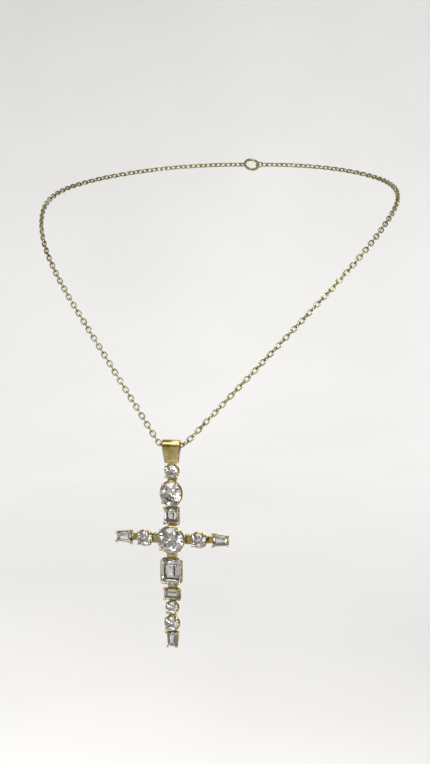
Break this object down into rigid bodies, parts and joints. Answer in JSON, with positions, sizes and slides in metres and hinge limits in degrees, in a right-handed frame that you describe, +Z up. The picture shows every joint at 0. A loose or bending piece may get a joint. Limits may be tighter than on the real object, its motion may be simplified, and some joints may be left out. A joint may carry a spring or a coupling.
{
  "type": "cross pendant necklace",
  "caption": "Cross pendant of clear round, oval, square, emerald-cut, baguette and tapered stones in open prong settings, hanging by a folded bail from a fine cable chain with a ring clasp.",
  "frame": {"origin": "middle of the clasp at the back of the neck, where the chain rests on the nape", "axes": "+Z up, the stones face -Y as the necklace is worn, +X to the viewer's right"},
  "size_m": [0.1118, 0.1233, 0.1379],
  "materials": {
    "gold": "polished",
    "clear_stone": "polished"
  },
  "bodies": {
    "chain": {"chain": "gold", "clasp": "gold"},
    "pendant": {"cross_frame": "gold", "stone_centre": "clear_stone", "stone_square": "clear_stone", "stone_oval": "clear_stone", "stone_top": "clear_stone", "stone_emerald": "clear_stone", "stone_bar": "clear_stone", "stone_low": "clear_stone", "stone_lower": "clear_stone", "stone_tip": "clear_stone", "stone_left_round": "clear_stone", "stone_left_tapered": "clear_stone", "stone_right_round": "clear_stone", "stone_right_tapered": "clear_stone"}
  },
  "joints": [
    {"name": "pendant_swing", "type": "hinge", "parent": "chain", "child": "pendant", "pos_m": [0, -0.118, -0.078], "axis": [1, 0, 0], "range_deg": [-70, 70]}
  ]
}
